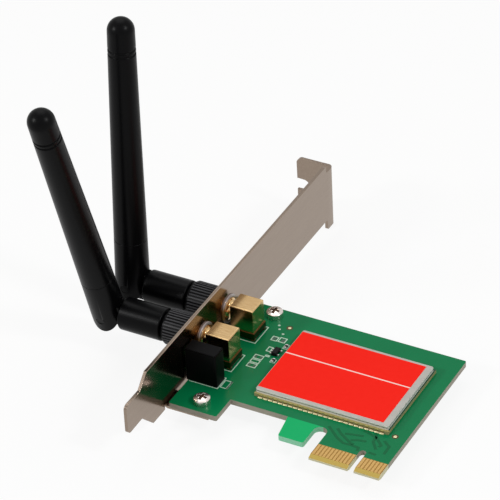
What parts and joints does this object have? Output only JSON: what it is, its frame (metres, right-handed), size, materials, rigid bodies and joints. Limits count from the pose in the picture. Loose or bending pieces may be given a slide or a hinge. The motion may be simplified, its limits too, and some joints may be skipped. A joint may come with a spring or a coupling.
{
  "type": "wireless network card",
  "caption": "Plug-in computer card with a shielded radio module, a folded steel slot bracket and hinged rod antennas screwed to coaxial jacks.",
  "frame": {"origin": "middle of the key notch at the contact edge, on the board's middle plane", "axes": "+X along the contact edge away from the bracket, +Y from the contact edge to the bracket's screw tab, +Z out of the component side"},
  "size_m": [0.1003, 0.12, 0.0956],
  "materials": {
    "solder_mask": "green solder mask on glass-fibre laminate",
    "gold_plate": "gold plated",
    "plated_steel": "nickel plated sheet",
    "screw_steel": "plated",
    "nickel": "nickel plated",
    "tin": "tinned",
    "black_plastic": "moulded",
    "lamp_lens": "moulded clear resin",
    "module_laminate": "bare laminate",
    "shield_steel": "tin plated sheet",
    "red_label": "printed film",
    "chip_resin": "moulded resin",
    "white_insulator": "turned",
    "antenna_plastic": "satin moulded",
    "radiator_brass": "drawn"
  },
  "bodies": {
    "card": {"circuit_board": "solder_mask", "edge_contacts_top": "gold_plate", "edge_contacts_bottom": "gold_plate", "module_pads": "gold_plate", "bracket": "plated_steel", "board_screws": "screw_steel", "lamp_housing": "black_plastic", "lower_lamp": "lamp_lens", "upper_lamp": "lamp_lens", "lamp_leads": "tin", "regulator_leads": "tin", "tinned_pads": "tin", "module_board": "module_laminate", "module_shield": "shield_steel", "radio_crystal": "shield_steel", "module_label": "red_label", "radio_chip": "chip_resin", "memory_chip": "chip_resin", "regulator_chip": "chip_resin", "front_jack_body": "gold_plate", "front_jack_contact": "gold_plate", "front_jack_insulator": "white_insulator", "front_jack_washer": "nickel", "front_jack_nut": "nickel", "rear_jack_body": "gold_plate", "rear_jack_contact": "gold_plate", "rear_jack_insulator": "white_insulator", "rear_jack_washer": "nickel", "rear_jack_nut": "nickel"},
    "front_nut": {"front_coupling_nut": "antenna_plastic"},
    "front_base": {"front_antenna_base": "antenna_plastic", "front_plug_insulator": "white_insulator", "front_plug_contact": "gold_plate"},
    "front_whip": {"front_antenna_knuckle": "antenna_plastic", "front_antenna_sheath": "antenna_plastic", "front_radiator": "radiator_brass", "front_hinge_pin": "antenna_plastic"},
    "rear_nut": {"rear_coupling_nut": "antenna_plastic"},
    "rear_base": {"rear_antenna_base": "antenna_plastic", "rear_plug_insulator": "white_insulator", "rear_plug_contact": "gold_plate"},
    "rear_whip": {"rear_antenna_knuckle": "antenna_plastic", "rear_antenna_sheath": "antenna_plastic", "rear_radiator": "radiator_brass", "rear_hinge_pin": "antenna_plastic"}
  },
  "joints": [
    {"name": "front_nut_turn", "type": "hinge", "parent": "card", "child": "front_nut", "pos_m": [-0.0645, 0.02706, 0.0071], "axis": [1, 0, 0], "continuous": true},
    {"name": "front_swivel", "type": "hinge", "parent": "card", "child": "front_base", "pos_m": [-0.076, 0.02706, 0.0071], "axis": [1, 0, 0], "range_deg": [-17.7, 162.3]},
    {"name": "front_tilt", "type": "hinge", "parent": "front_base", "child": "front_whip", "pos_m": [-0.0873, 0.02706, 0.0071], "axis": [0, -0.9527, -0.304], "range_deg": [0, 90]},
    {"name": "rear_nut_turn", "type": "hinge", "parent": "card", "child": "rear_nut", "pos_m": [-0.0645, 0.04086, 0.0071], "axis": [1, 0, 0], "continuous": true},
    {"name": "rear_swivel", "type": "hinge", "parent": "card", "child": "rear_base", "pos_m": [-0.076, 0.04086, 0.0071], "axis": [1, 0, 0], "range_deg": [-177.4, 2.6]},
    {"name": "rear_tilt", "type": "hinge", "parent": "rear_base", "child": "rear_whip", "pos_m": [-0.0873, 0.04086, 0.0071], "axis": [0, -0.999, 0.0454], "range_deg": [0, 90]}
  ]
}
